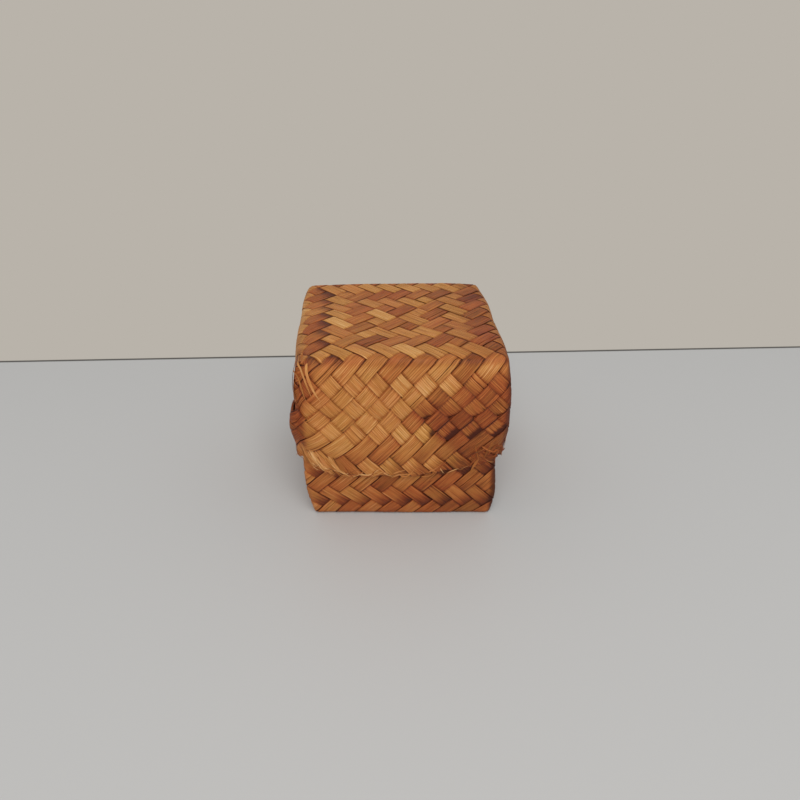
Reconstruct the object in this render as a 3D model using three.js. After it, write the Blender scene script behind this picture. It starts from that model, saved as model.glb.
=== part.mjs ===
// A small gift box plaited from bamboo strips: an open base, and a deep lid that lifts off it.
// Both halves are woven alike. Every strip rises up one wall, crosses the closed face and runs
// down the next wall at a slant, over two strips and under two, and on the lid's wall also
// over one.
// Lengths are in millimetres, +Z is up, and the box stands on z = 0, centred on the Z axis.

import * as THREE from "three";

// Overall sizes, over the outside of the weave.
const boxHeight = 90;
const lidHeight = 63;
const lidTopWidth = 95;

// How far a wall stands out from the line of its own fold: at its belly, where it is fullest,
// and at its rim.
const lidBellySwell = 2.75;
const lidRimSwell = 1.9;
const baseBellySwell = 2.25;
const baseRimSwell = 1;

// The room between the base and the lid, above the base's rim and at its sides.
const rimClearance = 0.3;
const sideClearance = 0.45;

// The strip, the gap to the strip beside it, and the room between crossing strips.
const stripThickness = 0.5;
const stripGap = 0.9;
const layerClearance = 0.3;

// Counts that set the weave. A row is the step from one crossing of two strips to the next,
// and a unit, two rows, is one strip's share of a side. A band is the rows that a strip stays
// on top for. Walls, hem and bellies are counted in units from the fold, and so are the bands
// of a wall, each given by its rows.
const sides = ["front", "right", "back", "left"];
const pairedSides = [0, 2];
const stripsPerSide = 9;
const rowsPerUnit = 2;
const rowsPerRing = 2;
const lidWallUnits = 5;
const lidBellyUnits = 2.5;
const hemUnits = 2.5;
const lidBandRows = [2, 1, 2, 2, 2, 2];
const baseWallUnits = stripsPerSide;
const baseBellyUnits = 2;
const baseBandRows = [2, 2];

// The first row of each wall that is out of sight. From there on its two layers run plain.
const lidPlainRow = 5;
const basePlainRow = 4;

// Sizes that follow from the strip. Two layers make a wall, and the hem is a second wall,
// folded up round the outside of the first, with one strip's fold inside the other's.
const wallThickness = 2 * stripThickness + layerClearance;
const layerOffset = (stripThickness + layerClearance) / 2;
const hemOffset = wallThickness + layerClearance;
const outerFoldDrop = stripThickness + layerClearance;
const hemFoldDepth = outerFoldDrop + stripThickness;
const cornerInset = layerClearance / 2;
const mergeDistance = layerClearance / 1000;

// Half widths of the middle surface of each half at its fold. The base's rim fits the lid.
const lidFoldHalf = (lidTopWidth - wallThickness) / 2;
const baseRimHalf = lidFoldHalf - wallThickness - sideClearance;
const baseFoldHalf = baseRimHalf - baseRimSwell;
const baseHeight = boxHeight - wallThickness - rimClearance;

const halfSide = stripsPerSide / 2;
const quarterTurn = Math.PI / 2;
const upAxis = new THREE.Vector3(0, 0, 1);

// Finishes: strips laid one way look redder than those laid the other way.
const bambooColours = ["#b5793f", "#c58f52"];
const bambooRoughness = 0.55;

// The half width of a wall's middle surface at a depth below its fold, in units: it swells
// from the fold to the belly and then runs straight to the rim.
function wallProfile(foldHalf, bellySwell, rimSwell, bellyUnits, wallUnits) {
  return (depth) => {
    if (depth < bellyUnits) {
      return foldHalf + bellySwell * Math.sin((quarterTurn * depth) / bellyUnits);
    }
    const share = (depth - bellyUnits) / (wallUnits - bellyUnits);
    return foldHalf + bellySwell + (rimSwell - bellySwell) * share;
  };
}

// Half the diagonal of one crossing, in units: half a unit less the gap beside the strip.
function crossingReach(foldHalf) {
  const unit = (2 * foldHalf) / stripsPerSide;
  return 1 / rowsPerUnit - stripGap / (Math.SQRT2 * unit);
}

const lid = {
  halfWidthAt: wallProfile(lidFoldHalf, lidBellySwell, lidRimSwell, lidBellyUnits, lidWallUnits),
  unitHeight: (lidHeight - wallThickness / 2 - hemFoldDepth) / lidWallUnits,
  reach: crossingReach(lidFoldHalf),
  wallUnits: lidWallUnits,
  tailUnits: lidWallUnits + hemUnits,
  bandRows: lidBandRows,
  plainRow: lidPlainRow,
  wovenFace: true,
};

const base = {
  halfWidthAt: wallProfile(
    baseFoldHalf,
    baseBellySwell,
    baseRimSwell,
    baseBellyUnits,
    baseWallUnits,
  ),
  unitHeight: (baseHeight - wallThickness / 2 - stripThickness) / baseWallUnits,
  reach: crossingReach(baseFoldHalf),
  wallUnits: baseWallUnits,
  tailUnits: baseWallUnits,
  bandRows: baseBandRows,
  plainRow: basePlainRow,
  wovenFace: false,
};

// A strip is told by the side whose wall it rises and by its lane there, counted from 0. Its
// crossings are numbered along it: 0 on the fold between that wall and the closed face, and
// span on the fold to the next wall.
function makeStrip(side, lane) {
  return { side, lane, span: rowsPerUnit * (stripsPerSide - lane) - 1 };
}

// Where a crossing lies when the box is unfolded round the closed face, in units from the
// face's middle, with the rising wall below the face and the falling wall to its right.
function unfolded(strip, index) {
  const step = index / rowsPerUnit;
  return new THREE.Vector2(strip.lane + 1 / rowsPerUnit - halfSide + step, step - halfSide);
}

// The surface that holds the strip at a place along it: the face or, by turns about the
// vertical, one of the walls. A leg that has gone round a corner is shifted by a side.
function zoneAt(sheet, strip, index) {
  if (index > 0 && index < strip.span) {
    return { face: true, turn: strip.side, hem: false };
  }
  const at = unfolded(strip, index);
  const rising = index <= 0;
  const pastCorner = Math.abs(rising ? at.x : at.y) > halfSide ? 1 : 0;
  const depth = rising ? -halfSide - at.y : at.x - halfSide;
  return {
    face: false,
    rising,
    turn: rising ? strip.side - pastCorner : strip.side + 1 + pastCorner,
    shift: (rising ? 1 : -1) * pastCorner * stripsPerSide,
    hem: depth > sheet.wallUnits,
  };
}

// The band that a row lies in, both counted from 0 at the fold.
function bandOf(bandRows, row) {
  let band = 0;
  let firstRowOfNext = bandRows[0];
  while (band < bandRows.length && row >= firstRowOfNext) {
    band += 1;
    firstRowOfNext += bandRows[band];
  }
  return band;
}

// Whether the strip is the outer one of the two at a crossing. Bands run round the walls, and
// square rings fill the face, with the rising strips on top in every other one.
function isOver(sheet, strip, index, zone) {
  if (index === 0 || index === strip.span) {
    return index === 0;
  }
  if (zone.face) {
    const at = unfolded(strip, index);
    const farther = Math.max(Math.abs(at.x), Math.abs(at.y));
    const ring = Math.ceil(((halfSide - farther) * rowsPerUnit) / rowsPerRing);
    const nearFront = farther === Math.abs(at.y);
    return sheet.wovenFace ? (ring % 2 === 0) === nearFront : pairedSides.includes(strip.side);
  }
  const rimRow = sheet.wallUnits * rowsPerUnit;
  const rowsOut = zone.rising ? -index : index - strip.span;
  const rowInHem = Math.min(2 * rimRow - rowsOut, rimRow - 1);
  const row = zone.hem ? rowInHem : Math.min(rowsOut, sheet.plainRow);
  const risingOnTop = bandOf(sheet.bandRows, row) % 2 === 0;
  return risingOnTop === (zone.rising !== zone.hem);
}

// A point of the unfolded plan put in its place on the box, raised off the middle surface.
// On an edge of the box the raised surfaces of both sides meet in a mitre, and close to an
// edge a point keeps inside it, so that strips beside a corner of the box stay clear.
function place(sheet, zone, plan, raised) {
  const alongSide = (value, halfWidth) => {
    const limit = halfWidth + raised;
    if (Math.abs(value) === halfSide) {
      return Math.sign(value) * limit;
    }
    const inset = limit - cornerInset;
    return THREE.MathUtils.clamp((value / halfSide) * halfWidth, -inset, inset);
  };
  const point = new THREE.Vector3();
  if (zone.face) {
    const halfWidth = sheet.halfWidthAt(0);
    point.set(alongSide(plan.x, halfWidth), alongSide(plan.y, halfWidth), raised);
  } else {
    const across = (zone.rising ? plan.x : plan.y) + zone.shift;
    const unrolled = zone.rising ? -halfSide - plan.y : plan.x - halfSide;
    const depth = zone.hem ? 2 * sheet.wallUnits - unrolled : unrolled;
    const halfWidth = sheet.halfWidthAt(depth) + (zone.hem ? hemOffset : 0);
    const below = Math.min(-depth * sheet.unitHeight, raised - cornerInset);
    point.set(alongSide(across, halfWidth), -halfWidth - raised, depth === 0 ? raised : below);
  }
  return point.applyAxisAngle(upAxis, zone.turn * quarterTurn);
}

// The lines on which a section of a strip can lie, by where they meet its left and its right
// edge, in half diagonals from the crossing's middle: square across the strip where it enters
// or leaves the crossing, and along an edge of the box that runs either way of the plan.
const west = new THREE.Vector2(-1, 0);
const east = new THREE.Vector2(1, 0);
const south = new THREE.Vector2(0, -1);
const north = new THREE.Vector2(0, 1);
const entering = [west, south];
const leaving = [north, east];
const edgeAcross = [west, east];
const edgeUpright = [north, south];

// The four corners of a strip's section, left edge first. In the hem the strip has turned
// over, so its faces change places. A fold round a rim is given by the face that ends up
// outside it and by how far the fold hangs below the rim.
function section(sheet, strip, index, zone, over, line, rimFold) {
  const level = over ? layerOffset : -layerOffset;
  const facing = zone.hem ? -1 : 1;
  const corner = (edge, face) => {
    const plan = edge.clone().multiplyScalar(sheet.reach).add(unfolded(strip, index));
    const point = place(sheet, zone, plan, level + (face * facing * stripThickness) / 2);
    if (rimFold) {
      point.z -= rimFold.drop + (face === rimFold.outerFace ? stripThickness : 0);
    }
    return point;
  };
  const [left, right] = line;
  return [corner(left, 1), corner(left, -1), corner(right, -1), corner(right, 1)];
}

// Everything about one crossing that its sections need. A crossing on an edge of the box lies
// in two zones, one before the edge and one after it.
function describeCrossing(sheet, strip, index) {
  const nearby = 1 / (2 * rowsPerUnit);
  const zoneIn = zoneAt(sheet, strip, index - nearby);
  const zoneOut = zoneAt(sheet, strip, index + nearby);
  const at = unfolded(strip, index);
  const rimRows = sheet.wallUnits * rowsPerUnit;
  const onRim = index === -rimRows || index === strip.span + rimRows;
  const across = Math.abs(at.y) === halfSide || (onRim && index < 0);
  const upright = Math.abs(at.x) === halfSide || (onRim && index > 0);
  return {
    index,
    onRim,
    zoneIn,
    zoneOut,
    overIn: isOver(sheet, strip, index, zoneIn),
    overOut: isOver(sheet, strip, index, zoneOut),
    edge: across ? edgeAcross : upright ? edgeUpright : null,
  };
}

// All the sections of one strip, from the end of its rising leg to the end of its falling
// one. The strip changes layer in the open gap between two crossings, and only there. At the
// lid's rim it folds over into the hem, the rising leg round the outside of the falling one.
function stripSections(sheet, strip) {
  const tailRows = sheet.tailUnits * rowsPerUnit;
  const crossings = [];
  for (let index = -tailRows; index <= strip.span + tailRows; index += 1) {
    crossings.push(describeCrossing(sheet, strip, index));
  }
  const sections = [];
  crossings.forEach((here, position) => {
    const before = crossings[position - 1];
    const after = crossings[position + 1];
    const cutIn = (line, fold) =>
      sections.push(section(sheet, strip, here.index, here.zoneIn, here.overIn, line, fold));
    const cutOut = (line, fold) =>
      sections.push(section(sheet, strip, here.index, here.zoneOut, here.overOut, line, fold));
    const hemFold = { outerFace: -1, drop: here.index < 0 ? outerFoldDrop : 0 };
    if (here.onRim && before && after) {
      cutIn(here.edge, hemFold);
      cutOut(here.edge, hemFold);
    } else if (here.onRim) {
      (before ? cutIn : cutOut)(here.edge);
    } else {
      if (!before || before.overOut !== here.overIn) {
        cutIn(entering);
      }
      if (here.edge) {
        cutOut(here.edge);
      }
      if (!after || after.overIn !== here.overOut) {
        cutOut(leaving);
      }
    }
  });
  return sections;
}

// Two strips of the base are one long strip: where the falling leg of the first reaches the
// base's rim it folds over and goes on as the rising leg of the second, turned over.
function foldedPairSections(sheet, first, second) {
  const rimRows = sheet.wallUnits * rowsPerUnit;
  const down = describeCrossing(sheet, first, first.span + rimRows);
  const up = describeCrossing(sheet, second, -rimRows);
  const innerFold = { outerFace: -1, drop: 0 };
  const outerFold = { outerFace: 1, drop: 0 };
  const innerEnd = section(sheet, first, down.index, down.zoneIn, down.overIn, down.edge, innerFold);
  const outerEnd = section(sheet, second, up.index, up.zoneOut, up.overOut, up.edge, outerFold);
  const turnOver = (corners) => [corners[2], corners[3], corners[0], corners[1]];
  return [
    ...stripSections(sheet, first).slice(0, -1),
    innerEnd,
    ...[outerEnd, ...stripSections(sheet, second).slice(1)].map(turnOver),
  ];
}

// A closed ribbon through its sections. Where two sections share a corner, the triangles
// between them that have no area are left out.
function ribbon(sections) {
  const positions = [];
  const meet = (a, b) => a.distanceTo(b) < mergeDistance;
  const triangle = (a, b, c) => {
    if (!meet(a, b) && !meet(b, c) && !meet(c, a)) {
      positions.push(...a.toArray(), ...b.toArray(), ...c.toArray());
    }
  };
  const quad = (a, b, c, d) => {
    triangle(a, b, c);
    triangle(a, c, d);
  };
  sections.slice(1).forEach((next, position) => {
    const here = sections[position];
    here.forEach((point, corner) => {
      const beside = (corner + 1) % here.length;
      quad(point, next[corner], next[beside], here[beside]);
    });
  });
  quad(...sections[0]);
  quad(...sections[sections.length - 1].slice().reverse());
  const geometry = new THREE.BufferGeometry();
  geometry.setAttribute("position", new THREE.Float32BufferAttribute(positions, 3));
  geometry.computeVertexNormals();
  return geometry;
}

function bambooMesh(name, sections, colour) {
  const material = new THREE.MeshStandardMaterial({
    color: colour,
    roughness: bambooRoughness,
    metalness: 0,
  });
  const mesh = new THREE.Mesh(ribbon(sections), material);
  mesh.name = name;
  return mesh;
}

function buildLid() {
  const group = new THREE.Group();
  sides.forEach((sideName, side) => {
    const colour = bambooColours[side % bambooColours.length];
    for (let lane = 0; lane < stripsPerSide; lane += 1) {
      const sections = stripSections(lid, makeStrip(side, lane));
      group.add(bambooMesh(`lid_strip_${sideName}_${lane + 1}`, sections, colour));
    }
  });
  group.position.z = boxHeight - wallThickness / 2;
  return group;
}

// The base is the same weave turned upside down, so its closed face is the bottom.
function buildBase() {
  const group = new THREE.Group();
  pairedSides.forEach((side, position) => {
    for (let lane = 0; lane < stripsPerSide; lane += 1) {
      const first = makeStrip(side + 1, stripsPerSide - 1 - lane);
      const second = makeStrip(side, lane);
      const sections = foldedPairSections(base, first, second);
      const name = `base_strip_${sides[side]}_${lane + 1}`;
      group.add(bambooMesh(name, sections, bambooColours[position]));
    }
  });
  group.position.z = wallThickness / 2;
  group.rotation.y = Math.PI;
  return group;
}

const box = new THREE.Group();
box.add(buildLid(), buildBase());

export default box;
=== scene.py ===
"""A small gift box plaited from bamboo strips: an open base, and a deep lid that lifts off it.

Every strip is a ribbon laid on the box along the same route as its node in the CAD frame. It
rises up one wall, crosses the closed face and runs down the next wall. A side is nine units
wide, a unit is two rows of crossings, and a strip's crossings are numbered along it: 0 on the
fold between its rising wall and the face, and span on the fold to its falling wall.
"""

import math
from types import SimpleNamespace

import bpy
import numpy as np
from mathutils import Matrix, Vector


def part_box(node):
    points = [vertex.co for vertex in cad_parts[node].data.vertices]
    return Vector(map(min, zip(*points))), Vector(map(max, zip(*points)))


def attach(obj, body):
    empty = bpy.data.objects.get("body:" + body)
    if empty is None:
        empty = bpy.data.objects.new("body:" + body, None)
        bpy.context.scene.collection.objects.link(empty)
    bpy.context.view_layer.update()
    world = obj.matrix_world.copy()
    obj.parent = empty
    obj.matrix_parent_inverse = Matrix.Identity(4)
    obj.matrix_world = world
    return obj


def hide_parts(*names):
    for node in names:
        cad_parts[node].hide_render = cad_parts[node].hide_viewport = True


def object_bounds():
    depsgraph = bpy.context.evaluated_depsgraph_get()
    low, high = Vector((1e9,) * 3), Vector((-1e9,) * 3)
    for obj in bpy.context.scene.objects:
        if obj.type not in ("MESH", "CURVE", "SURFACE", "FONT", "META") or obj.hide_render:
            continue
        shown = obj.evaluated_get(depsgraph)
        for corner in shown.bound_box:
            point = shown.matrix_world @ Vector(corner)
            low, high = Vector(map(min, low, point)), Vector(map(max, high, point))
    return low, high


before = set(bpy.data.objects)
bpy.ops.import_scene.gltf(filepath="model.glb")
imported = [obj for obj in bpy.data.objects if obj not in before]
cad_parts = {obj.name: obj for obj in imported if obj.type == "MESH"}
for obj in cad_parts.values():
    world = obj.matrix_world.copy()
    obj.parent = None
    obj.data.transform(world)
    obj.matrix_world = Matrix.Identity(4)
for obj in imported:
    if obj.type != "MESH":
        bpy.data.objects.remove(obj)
cad_low, cad_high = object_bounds()

MM = 0.001
QUARTER_TURN = math.pi / 2

# The weave's counts, as in the frame. From its middle line to its edge, a strip takes EDGE_UNITS
# along x and as many along y.
STRIPS = 9
HALF_SIDE = STRIPS / 2
ROWS_PER_UNIT = 2
LID_WALL_UNITS = 5
BASE_WALL_UNITS = 9
EDGE_UNITS = 0.25
SIDES = ("front", "right", "back", "left")
PAIRED_SIDES = (0, 2)

# The strip's section. Two layers make a wall, each at LAYER from the wall's middle.
THICKNESS = 0.42 * MM
CROWN = 0.03 * MM
LAYER = 0.3 * MM
STRIP_WIDTH_SHARES = (0.91, 1.0)
WALL_THICKNESS = 1.3 * MM
HEM_OFFSET = 1.6 * MM

# How much the strips, and the floats of one strip, differ from each other. A tilt is a slope.
BULGE_SPREAD = 0.035 * MM
TILT_SPREAD = 0.015
FLOAT_TONE_SPREAD = 0.032
FLOAT_RED_SPREAD = 0.12
STRIP_TONE_SPREAD = 0.032
STRIP_RED_SPREAD = 0.1

# Each strip sways in two waves, given by their reach in half widths and their turn a crossing.
SWAY_WAVES = ((0.03, 0.9), (0.02, 2.3))

# A few strips are split along their length, at a place given in half widths.
SPLIT_STRIP_SHARE = 0.12
SPLIT_PLACES = (-0.5, 0.5)
SPLIT_GAP_SHARE = 0.03

# How far a half's middle surface stays inside its overall height, fold to rim.
LID_RIM_DROP = 1.95 * MM
BASE_RIM_DROP = 1.15 * MM

BOX_HEIGHT = cad_high.z
LID_LOW = min(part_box(node)[0].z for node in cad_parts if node.startswith("lid_"))
BASE_HIGH = max(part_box(node)[1].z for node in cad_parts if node.startswith("base_"))

lid = SimpleNamespace(
    body="lid",
    strip_seed=11,
    warp_seed=21,
    wave_seed=31,
    fold_half=46.85 * MM,
    belly_swell=2.75 * MM,
    rim_swell=1.3 * MM,
    belly_units=2.2,
    bow=1.3 * MM,
    wall_units=LID_WALL_UNITS,
    tail_units=2.5,
    rim_row=LID_WALL_UNITS * ROWS_PER_UNIT,
    unit_height=(BOX_HEIGHT - LID_LOW - LID_RIM_DROP) / LID_WALL_UNITS,
    rim_fold_half=1.1 * MM,
    wall_bands=(2, 1, 1, 1, 2, 4),
    hem_bands=(2, 1, 1, 1, 1, 1, 2, 2),
    top_radius=2.2 * MM,
    corner_radius=2.6 * MM,
    left_softness=4.8 * MM,
    rim_softness=3 * MM,
    corner_raise_share=0.165,
    warp=0.5 * MM,
    rim_wave=0.5 * MM,
    rim_saw=1.2 * MM,
    last_fine_row=5,
)

base = SimpleNamespace(
    body="base",
    strip_seed=12,
    warp_seed=22,
    wave_seed=32,
    fold_half=44.1 * MM,
    belly_swell=2.25 * MM,
    rim_swell=1.0 * MM,
    belly_units=2,
    bow=0,
    wall_units=BASE_WALL_UNITS,
    tail_units=0,
    rim_row=BASE_WALL_UNITS * ROWS_PER_UNIT,
    unit_height=(BASE_HIGH - BASE_RIM_DROP) / BASE_WALL_UNITS,
    rim_fold_half=0.6 * MM,
    wall_bands=(2, 2, 2, 2, 2, 2, 2, 2, 3),
    hem_bands=(),
    top_radius=1.3 * MM,
    corner_radius=1.8 * MM,
    left_softness=0,
    rim_softness=0,
    corner_raise_share=0,
    warp=0.15 * MM,
    rim_wave=0,
    rim_saw=0,
    last_fine_row=6,
)

# How finely a strip is cut along its length, in steps to a crossing: within EDGE_REACH of an
# edge of the box, elsewhere in sight, and out of sight. A rim fold has rows of its own, given
# in halves of it, and no other rows lie near it.
EDGE_STEPS = 14
FINE_STEPS = 8
COARSE_STEPS = 5
EDGE_REACH = 1.3
RIM_FOLD_STEPS = (-1, -0.66, -0.33, 0, 0.33, 0.66, 1)
RIM_CLEAR = 1.2
SHARP_ANGLE = math.radians(35)

# A strip changes height on a ramp this long, and its tail ends this far past its last crossing.
RAMP_CROSSINGS = 0.3
TAIL_END = 0.55

# Across a rim fold the rows of points slant, in crossings to a half width.
RIM_SLANT = 0.5
RIM_SLANT_CROSSINGS = (0.3, 1.5)

# The upper side of a strip's outline across: the place, height and crown of each point, as
# shares. The lower side is the same, turned over.
UPPER = ((-1, 0, 0), (-0.95, 1, 0), (-0.48, 1, 0.8), (0, 1, 1), (0.48, 1, 0.8), (0.95, 1, 0))
OUTLINE = np.concatenate([UPPER, np.negative(UPPER)])

# The waves that warp a half, and those that make its rim uneven.
WARP_WAVES = 9
WARP_LENGTH = 42 * MM
WARP_LENGTH_SHARES = (0.7, 1.5)
RIM_WAVE_COUNTS = range(3, 15)

# Down the wall, in units of depth: where its height grows uneven, and where the bow ends.
UNEVEN_UNITS = (1, 5)
BOW_UNITS = 3.5

# Where the edges grow soft, towards the left and the front, in half widths from the middle.
SOFT_LEFT = (0.25, 0.95)
SOFT_FRONT = (-0.7, 0.5)

# Where the hem lifts off the wall and where the wall behind it sinks back, in units of depth.
HEM_LIFT_UNITS = (2.0, 3.5)
WALL_SINK_UNITS = (2.15, 2.5)
WALL_RETURN_UNITS = (4.2, 4.8)
WALL_SINK = 0.5 * MM

# At the front left corner the hem's upper end has come loose and stands off the wall. Its
# place is counted in units round the box, from the middle of the front.
FLAP_PLACE = -5.0
FLAP_REACH = 0.8
FLAP_UNITS = (2.7, 4.0)
FLAP_ROOT_UNITS = (1.9, 2.2)
FLAP_LIFT = 1.5 * MM

# The lid's rim is jagged. Each strip hangs lower towards its right, then the next one starts.
SAW_START = 0.15
SAW_JUMP_SHARE = 0.16
SAW_UNITS = (4.1, 4.9)

# Above the loose corner the lid's left wall is pushed in.
DENT = 2.0 * MM
DENT_PLACE = -6.2
DENT_REACH = 1.9
DENT_DEPTH = 1.95
DENT_HEIGHT = 0.4

# Below it the rim is pressed in, the hem most and the wall behind it by a share of that.
PINCH = 1.1 * MM
PINCH_WALL_SHARE = 0.3
PINCH_PLACE = -5.2
PINCH_REACH = 1.7
PINCH_UNITS = (3.5, 4.5)

# The box is out of square, as a plaited one is: its back leans to the left of its front, its
# waist to the left of its top and foot, and the base is twisted towards the bottom.
SHEAR = 0.018
FRONT = cad_low.y
WAIST_LEAN = 1.1 * MM
WAIST_HEIGHT = 34 * MM
WAIST_REACH = 19 * MM
FOOT_TWIST = math.radians(-2.0)
FOOT_TWIST_HEIGHT = 32 * MM
CONTACT_SOFTNESS = 0.3 * MM

# Slivers and fibres that have come away from the strips. Their root and tip are shares of
# their width, and their grain is a strip's, scaled to a sliver's width.
SLIVER_STEPS = 8
SLIVER_THICKNESS = 0.22 * MM
SLIVER_WIGGLE = 0.04 * MM
SLIVER_ROOT = 0.3
SLIVER_ROOT_RATE = 4
SLIVER_TIP = 0.08
SLIVER_GRAIN = 0.3 / (2 * MM)
FRAY_ROOT = 0.45 * MM
LAST_HEM_DEPTH = 0.12

# The fibres along the lid's rim, by kind. They start at a place in units across their side, and
# reach sideways. Each control has its share of the reach, its shift, a range of depth past the
# rim, all in units, and a range of height off the hem in mm, or none at the root. Widths are in
# mm, and tones and reds have a mean and a spread.
FRAY_SEED = 13
FRINGE = SimpleNamespace(
    count=46, start=(-4.9, -4.0, -1.9), reach=(0.15, 0.6), both_ways=False,
    width=(0.35, 1.0), tone=(0.58, 0.14), red=(0.55, 0.2),
    controls=(
        (0, -0.4, (-0.5, -1.0), None),
        (0, -0.15, (-0.1, -0.3), (0.6, 1.1)),
        (0.5, 0, (-0.1, 0.15), (0.5, 1.4)),
        (1, 0, (-0.2, 0.25), (0.3, 1.8)),
    ),
)
RIM_SLIVERS = SimpleNamespace(
    count=11, start=(-2.8, 1.4), reach=(0.7, 1.4), both_ways=False,
    width=(0.5, 1.1), tone=(0.54, 0.12), red=(0.8, 0.15),
    controls=(
        (0, 0, (0.1, -0.35), None),
        (0.5, 0, (-0.1, 0.25), (0.6, 1.2)),
        (1, 0, (-0.1, -0.6), (0.7, 1.5)),
    ),
)
SPARSE_FRAYS = SimpleNamespace(
    count=12, start=(-HALF_SIDE, HALF_SIDE), reach=(0.2, 0.7), both_ways=True,
    width=(0.2, 0.45), tone=(0.75, 0.12), red=(0.45, 0.2),
    controls=(
        (0, 0, (-0.1, -0.4), None),
        (0.5, 0, (-0.1, 0.1), (0.8, 1.4)),
        (1, 0, (-0.2, 0.15), (0.8, 2.0)),
    ),
)

# The ragged fibres of the right corner lie both ways across the hem, at either of two turns.
CORNER_FRAYS = SimpleNamespace(
    count=20, start=(3.2, 5.0), depth=(4.1, 4.9), turns=(0.9, 2.3), turn_spread=0.3,
    reach=(0.15, 0.45), middle_height=(0.5, 0.8), tip_height=(0.5, 1.5),
    width=(0.5, 1.3), tone=(0.3, 0.12), red=(0.9, 0.2),
)

# The front left corner's narrow strips: each one's route in units across the front and units of
# depth, its width, and its tone. Units past the front's edge go on along the left wall. The last
# strip lies there, and its lower tone is a painted shade of that wall.
CORNER_SLIVER_SEED = 14
CORNER_SLIVER_RED = 0.6
CORNER_SLIVER_STEPS = 24
CORNER_SLIVER_LIFT = 0.72 * MM
CORNER_SLIVERS = (
    (((-6.2, 0.3), (-5.0, 0.2), (-4.4, 0.4), (-4.2, 1.0), (-3.95, 1.6)), 1.3 * MM, 0.52),
    (((-5.4, 0.1), (-4.5, 0.05), (-4.12, 0.3), (-4.0, 0.9), (-3.7, 1.5)), 1.2 * MM, 0.6),
    (((-4.15, -0.05), (-4.05, 0.3), (-3.95, 0.7), (-3.7, 1.2), (-3.35, 1.6)), 1.4 * MM, 0.68),
    (((-4.85, 0.4), (-4.75, 0.9), (-4.6, 1.3), (-4.5, 1.8)), 1.2 * MM, 0.36),
)

# A strip's tone, from 0 for dark to 1 for pale, and its redness, where nothing changes them.
BASE_TONE = 0.56
BASE_RED = 0.38

# Places on the box, bounded by soft steps along x, y or z: where one starts and is full, in mm.
LID_TOP = (("z", BOX_HEIGHT / MM - 5, BOX_HEIGHT / MM - 2),)
TOP_RIGHT = (("x", 12, 45),)
TOP_LEFT_EDGE = (("x", -24, -31), ("y", -49, -44))
FAINT_GAP_SHADE_FRONT = (("x", 12, -6), ("z", 46, 54), ("z", 78, 70))
LOW_END_ROWS = (("z", 58, 52),)
RIM_END_PLACE = (("x", -14, 0),)
LID_RIGHT_CORNER = (("x", 46, 49.2), ("y", -20, -38))
BASE_RIGHT_CORNER = (("x", 42.4, 45.2), ("y", -20, -38))
BASE_RIGHT = (("x", -40, 40),)
SIDE_STAIN = (("x", 10, 38), ("z", 88, 70))
STAINED_HALF = (("y", 30, -30),)
SLOT_ROWS = (("z", 40, 45), ("z", 63, 59))
LEFT_CORNER = (("x", -38, -43), ("y", -28, -38), ("z", 66, 72), ("z", 89, 86))
FLAP_SHADE = (("x", -44, -47), ("y", 0, -30), ("z", 42, 50), ("z", 72, 64))

# Each shade below has how much darker and how much redder it makes a strip. Where another strip
# covers one, painted shade in the gaps darkens and reddens it. On the left half of the lid's
# front that painted gap shade is fainter.
COVERED_GAP_SHADE = (0.42, 0.4)
FAINTER_GAP_SHADE_SHARE = 0.5

# The lower ends of long floats, where they dive under the next strip, get painted shade, most of
# all on strips that lean left, and so do the ends by the rim. The steps are shares of a float,
# and crossings.
LOW_END_SHADE = (0.3, 0.35)
LOW_END_SHARES = (0.4, 1)
LOW_END_RIGHT_LEAN = 0.35
LONG_FLOAT = (1, 2)
RIM_END_SHADE = (0.26, 0.35)
RIM_END_CROSSINGS = (1.5, 0.2)

# The base is redder, and darker towards its right. The front right corner of both halves is
# painted darker along its edge, a painted shade of the right wall.
WHOLE_BASE = (0.01, 0.32)
RIGHT_OF_BASE = (0.12, 0)
RIGHT_EDGE_SHADE = (0.5, 0)

# On the lid's top the strips laid to the left are paler than those laid to the right, as the
# bamboo is, and both are painted darker than the walls, a painted shade of the top. All are
# darker on the right. Along its left edge the right ends of floats lie in deep shadow.
LAID_LEFT = (0.07, -0.15)
LAID_RIGHT = (0.14, 0.15)
RIGHT_OF_TOP = (0.12, 0.2)
WEDGE = (0.34, 0)
WEDGE_SHARES = (0.5, 1)

# The lid's front is stained towards its lower right, below a slanted edge, and further up
# beside its right corner. The stain also evens out the tones that it covers.
STAIN = (0.16, 0.5)
STAIN_START = 1 * MM
STAIN_SLOPE = 0.8
STAIN_TOP = 63 * MM
STAIN_FADE = 10 * MM
STAIN_TONE = 0.26
STAIN_EVENNESS = 0.55

# In the stained part some of the weave gapes: there the lower ends of floats lie in deep shadow.
SLOT = (0.72, 0.4)
SLOT_FADE = 5 * MM
SLOT_SHARES = (0.48, 0.94)

# The front left corner gets painted shade under its slivers, and its loose flap and the wall
# above it get painted shade and are redder.
UNDER_SLIVERS = (0.16, 0.3)
SHADED_FLAP = (0.22, 0.5)


def smoothstep(low, high, value):
    share = np.clip((value - low) / (high - low), 0, 1)
    return share * share * (3 - 2 * share)


def unit(vectors):
    return vectors / np.linalg.norm(vectors, axis=-1, keepdims=True)


def warp_field(seed, amplitude):
    """A smooth random displacement of space, from a few slanted waves."""
    draws = np.random.default_rng(seed)
    directions = unit(draws.normal(size=(WARP_WAVES, 3)))
    lengths = WARP_LENGTH * draws.uniform(*WARP_LENGTH_SHARES, (WARP_WAVES, 1))
    waves = directions * 2 * math.pi / lengths
    phases = draws.uniform(0, 2 * math.pi, WARP_WAVES)
    moves = draws.normal(size=(WARP_WAVES, 3)) * amplitude / math.sqrt(WARP_WAVES)
    return lambda points: np.sin(points @ waves.T + phases) @ moves


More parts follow.
